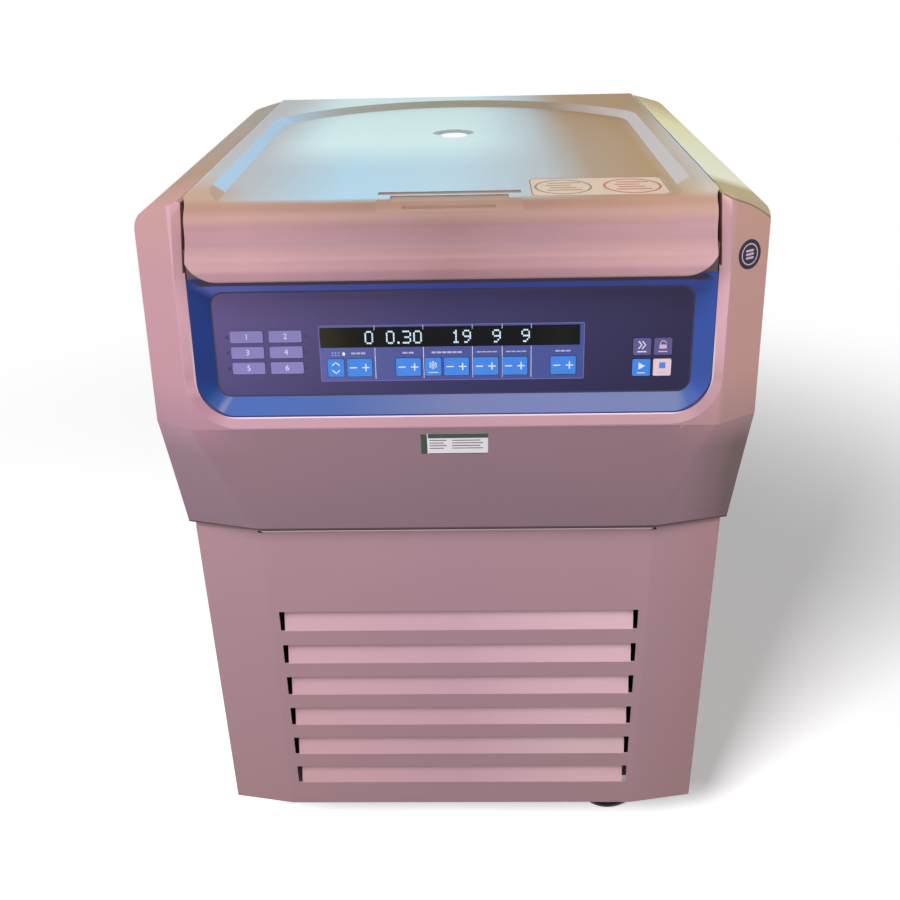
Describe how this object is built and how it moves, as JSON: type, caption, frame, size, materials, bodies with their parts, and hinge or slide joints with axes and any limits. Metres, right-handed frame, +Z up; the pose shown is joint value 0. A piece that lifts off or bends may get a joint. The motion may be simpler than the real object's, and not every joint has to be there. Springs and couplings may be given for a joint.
{
  "type": "floor-standing microplate centrifuge",
  "caption": "Floor-standing refrigerated centrifuge on casters with a louvred cabinet, blue-framed keypad console, hinged lid and swing-out microplate rotor.",
  "frame": {"origin": "on the floor, at the middle of the footprint", "axes": "+Z up, -Y towards the console and the user, +X to the right of the console"},
  "size_m": [0.636, 0.67, 0.874],
  "materials": {
    "painted_body": "satin powder coat, warm pinkish grey",
    "lid_paint": "satin metallic paint",
    "deck_paint": "satin paint",
    "bezel_blue": "glossy blue moulding",
    "panel_violet": "dark violet overlay film",
    "display_black": "black display window",
    "key_violet": "violet key",
    "key_blue": "bright blue key",
    "key_pale": "pale key",
    "stainless": "spun stainless bowl",
    "rubber": "black rubber",
    "wheel_rubber": "grey-black rubber tyre on a plastic centre",
    "copper": "copper tube",
    "foam": "rigid polyurethane foam",
    "motor_casting": "cast aluminium motor housing",
    "compressor_paint": "black enamelled pot",
    "fin_aluminium": "aluminium fins and sheet shroud",
    "frame_steel": "dark coated sheet steel",
    "zinc_steel": "zinc-plated steel",
    "polished_steel": "ground and polished steel",
    "black_metal": "black painted tube",
    "black_plastic": "black moulded plastic",
    "liner_grey": "grey moulded liner",
    "port_glass": "clear viewing window",
    "rotor_anodised": "dark anodised aluminium",
    "carrier_aluminium": "clear anodised aluminium"
  },
  "bodies": {
    "cabinet": {"base_frame": "frame_steel", "bowl_gasket": "rubber", "chamber_bowl": "stainless", "compressor": "compressor_paint", "condenser": "fin_aluminium", "control_bezel": "bezel_blue", "control_panel": "panel_violet", "cover_screws": "zinc_steel", "display_window": "display_black", "drive_motor": "motor_casting", "evaporator_coil": "copper", "front_fascia": "painted_body", "insulation_shell": "foam", "left_side_panel": "painted_body", "lower_front_cover": "painted_body", "lower_rear_panel": "painted_body", "motor_mounts": "rubber", "power_inlet": "black_plastic", "rear_caster_forks": "zinc_steel", "right_side_panel": "painted_body", "top_deck": "deck_paint", "upper_casing": "painted_body"},
    "rocker": {"power_rocker": "black_plastic"},
    "fan": {"fan_rotor": "black_plastic"},
    "latch": {"latch_hooks": "zinc_steel"},
    "lid": {"lid_shell": "lid_paint", "lid_liner": "liner_grey", "viewport_glass": "port_glass", "lid_hinge_arms": "zinc_steel"},
    "strut_cylinder_pair": {"strut_cylinders": "black_metal"},
    "strut_rod_pair": {"strut_rods": "polished_steel"},
    "rotor": {"drive_shaft": "polished_steel", "rotor_yoke": "rotor_anodised", "rotor_knob": "black_plastic"},
    "carrier_left": {"carrier_left": "carrier_aluminium"},
    "carrier_right": {"carrier_right": "carrier_aluminium"},
    "fork_left": {"caster_fork_front_left": "zinc_steel"},
    "fork_right": {"caster_fork_front_right": "zinc_steel"},
    "wheel_front_left": {"wheel_front_left": "wheel_rubber"},
    "wheel_front_right": {"wheel_front_right": "wheel_rubber"},
    "wheel_rear_left": {"wheel_rear_left": "wheel_rubber"},
    "wheel_rear_right": {"wheel_rear_right": "wheel_rubber"},
    "key_acceleration": {"key_acceleration": "key_blue"},
    "key_bucket": {"key_bucket": "key_blue"},
    "key_deceleration": {"key_deceleration": "key_blue"},
    "key_mode": {"key_mode": "key_blue"},
    "key_open_lid": {"key_open_lid": "key_violet"},
    "key_precool": {"key_precool": "key_blue"},
    "key_program_1": {"key_program_1": "key_violet"},
    "key_program_2": {"key_program_2": "key_violet"},
    "key_program_3": {"key_program_3": "key_violet"},
    "key_program_4": {"key_program_4": "key_violet"},
    "key_program_5": {"key_program_5": "key_violet"},
    "key_program_6": {"key_program_6": "key_violet"},
    "key_pulse": {"key_pulse": "key_violet"},
    "key_speed": {"key_speed": "key_blue"},
    "key_start": {"key_start": "key_blue"},
    "key_stop": {"key_stop": "key_pale"},
    "key_temperature": {"key_temperature": "key_blue"},
    "key_time": {"key_time": "key_blue"}
  },
  "joints": [
    {"name": "lid_hinge", "type": "hinge", "parent": "cabinet", "child": "lid", "pos_m": [0, 0.3, 0.863], "axis": [-1, 0, 0], "range_deg": [0, 75]},
    {"name": "strut_tilt", "type": "hinge", "parent": "cabinet", "child": "strut_cylinder_pair", "pos_m": [0, 0.24, 0.665], "axis": [-1, 0, 0], "range_deg": [-1, 5.76]},
    {"name": "strut_slide", "type": "slide", "parent": "strut_cylinder_pair", "child": "strut_rod_pair", "axis": [0, 0.0543, 0.9985], "range_m": [0, 0.0627]},
    {"name": "rotor_spin", "type": "hinge", "parent": "cabinet", "child": "rotor", "pos_m": [0, 0, 0.685], "axis": [0, 0, 1], "continuous": true},
    {"name": "carrier_left_swing", "type": "hinge", "parent": "rotor", "child": "carrier_left", "pos_m": [-0.118, 0, 0.725], "axis": [0, 1, 0], "range_deg": [0, 90]},
    {"name": "carrier_right_swing", "type": "hinge", "parent": "rotor", "child": "carrier_right", "pos_m": [0.118, 0, 0.725], "axis": [0, -1, 0], "range_deg": [0, 90]},
    {"name": "latch_turn", "type": "hinge", "parent": "cabinet", "child": "latch", "pos_m": [0, -0.28, 0.797], "axis": [-1, 0, 0], "range_deg": [0, 12]},
    {"name": "fan_spin", "type": "hinge", "parent": "cabinet", "child": "fan", "pos_m": [0, -0.214, 0.245], "axis": [0, 1, 0], "continuous": true},
    {"name": "rocker_tilt", "type": "hinge", "parent": "cabinet", "child": "rocker", "pos_m": [0.15, 0.3165, 0.15], "axis": [-1, 0, 0], "range_deg": [0, 14]},
    {"name": "caster_left_swivel", "type": "hinge", "parent": "cabinet", "child": "fork_left", "pos_m": [-0.226, -0.228, 0.09], "axis": [0, 0, 1], "continuous": true},
    {"name": "wheel_front_left_roll", "type": "hinge", "parent": "fork_left", "child": "wheel_front_left", "pos_m": [-0.226, -0.203, 0.0375], "axis": [1, 0, 0], "continuous": true},
    {"name": "caster_right_swivel", "type": "hinge", "parent": "cabinet", "child": "fork_right", "pos_m": [0.226, -0.228, 0.09], "axis": [0, 0, 1], "continuous": true},
    {"name": "wheel_front_right_roll", "type": "hinge", "parent": "fork_right", "child": "wheel_front_right", "pos_m": [0.201, -0.228, 0.0375], "axis": [0, 1, 0], "continuous": true},
    {"name": "wheel_rear_left_roll", "type": "hinge", "parent": "cabinet", "child": "wheel_rear_left", "pos_m": [-0.222, 0.275, 0.0375], "axis": [1, 0, 0], "continuous": true},
    {"name": "wheel_rear_right_roll", "type": "hinge", "parent": "cabinet", "child": "wheel_rear_right", "pos_m": [0.222, 0.275, 0.0375], "axis": [1, 0, 0], "continuous": true},
    {"name": "press_acceleration", "type": "slide", "parent": "cabinet", "child": "key_acceleration", "axis": [0, 0.9914, -0.1305], "range_m": [0, 0.0006], "stiffness_N_per_m": 1500},
    {"name": "press_bucket", "type": "slide", "parent": "cabinet", "child": "key_bucket", "axis": [0, 0.9914, -0.1305], "range_m": [0, 0.0006], "stiffness_N_per_m": 1500},
    {"name": "press_deceleration", "type": "slide", "parent": "cabinet", "child": "key_deceleration", "axis": [0, 0.9914, -0.1305], "range_m": [0, 0.0006], "stiffness_N_per_m": 1500},
    {"name": "press_mode", "type": "slide", "parent": "cabinet", "child": "key_mode", "axis": [0, 0.9914, -0.1305], "range_m": [0, 0.0006], "stiffness_N_per_m": 1500},
    {"name": "press_open_lid", "type": "slide", "parent": "cabinet", "child": "key_open_lid", "axis": [0, 0.9914, -0.1305], "range_m": [0, 0.0006], "stiffness_N_per_m": 1500},
    {"name": "press_precool", "type": "slide", "parent": "cabinet", "child": "key_precool", "axis": [0, 0.9914, -0.1305], "range_m": [0, 0.0006], "stiffness_N_per_m": 1500},
    {"name": "press_program_1", "type": "slide", "parent": "cabinet", "child": "key_program_1", "axis": [0, 0.9914, -0.1305], "range_m": [0, 0.0006], "stiffness_N_per_m": 1500},
    {"name": "press_program_2", "type": "slide", "parent": "cabinet", "child": "key_program_2", "axis": [0, 0.9914, -0.1305], "range_m": [0, 0.0006], "stiffness_N_per_m": 1500},
    {"name": "press_program_3", "type": "slide", "parent": "cabinet", "child": "key_program_3", "axis": [0, 0.9914, -0.1305], "range_m": [0, 0.0006], "stiffness_N_per_m": 1500},
    {"name": "press_program_4", "type": "slide", "parent": "cabinet", "child": "key_program_4", "axis": [0, 0.9914, -0.1305], "range_m": [0, 0.0006], "stiffness_N_per_m": 1500},
    {"name": "press_program_5", "type": "slide", "parent": "cabinet", "child": "key_program_5", "axis": [0, 0.9914, -0.1305], "range_m": [0, 0.0006], "stiffness_N_per_m": 1500},
    {"name": "press_program_6", "type": "slide", "parent": "cabinet", "child": "key_program_6", "axis": [0, 0.9914, -0.1305], "range_m": [0, 0.0006], "stiffness_N_per_m": 1500},
    {"name": "press_pulse", "type": "slide", "parent": "cabinet", "child": "key_pulse", "axis": [0, 0.9914, -0.1305], "range_m": [0, 0.0006], "stiffness_N_per_m": 1500},
    {"name": "press_speed", "type": "slide", "parent": "cabinet", "child": "key_speed", "axis": [0, 0.9914, -0.1305], "range_m": [0, 0.0006], "stiffness_N_per_m": 1500},
    {"name": "press_start", "type": "slide", "parent": "cabinet", "child": "key_start", "axis": [0, 0.9914, -0.1305], "range_m": [0, 0.0006], "stiffness_N_per_m": 1500},
    {"name": "press_stop", "type": "slide", "parent": "cabinet", "child": "key_stop", "axis": [0, 0.9914, -0.1305], "range_m": [0, 0.0006], "stiffness_N_per_m": 1500},
    {"name": "press_temperature", "type": "slide", "parent": "cabinet", "child": "key_temperature", "axis": [0, 0.9914, -0.1305], "range_m": [0, 0.0006], "stiffness_N_per_m": 1500},
    {"name": "press_time", "type": "slide", "parent": "cabinet", "child": "key_time", "axis": [0, 0.9914, -0.1305], "range_m": [0, 0.0006], "stiffness_N_per_m": 1500}
  ],
  "couplings": [
    {"joint": "strut_tilt", "follows": "lid_hinge", "ratio": 0.063431},
    {"joint": "strut_slide", "follows": "lid_hinge", "m_per_rad": 0.046377}
  ]
}
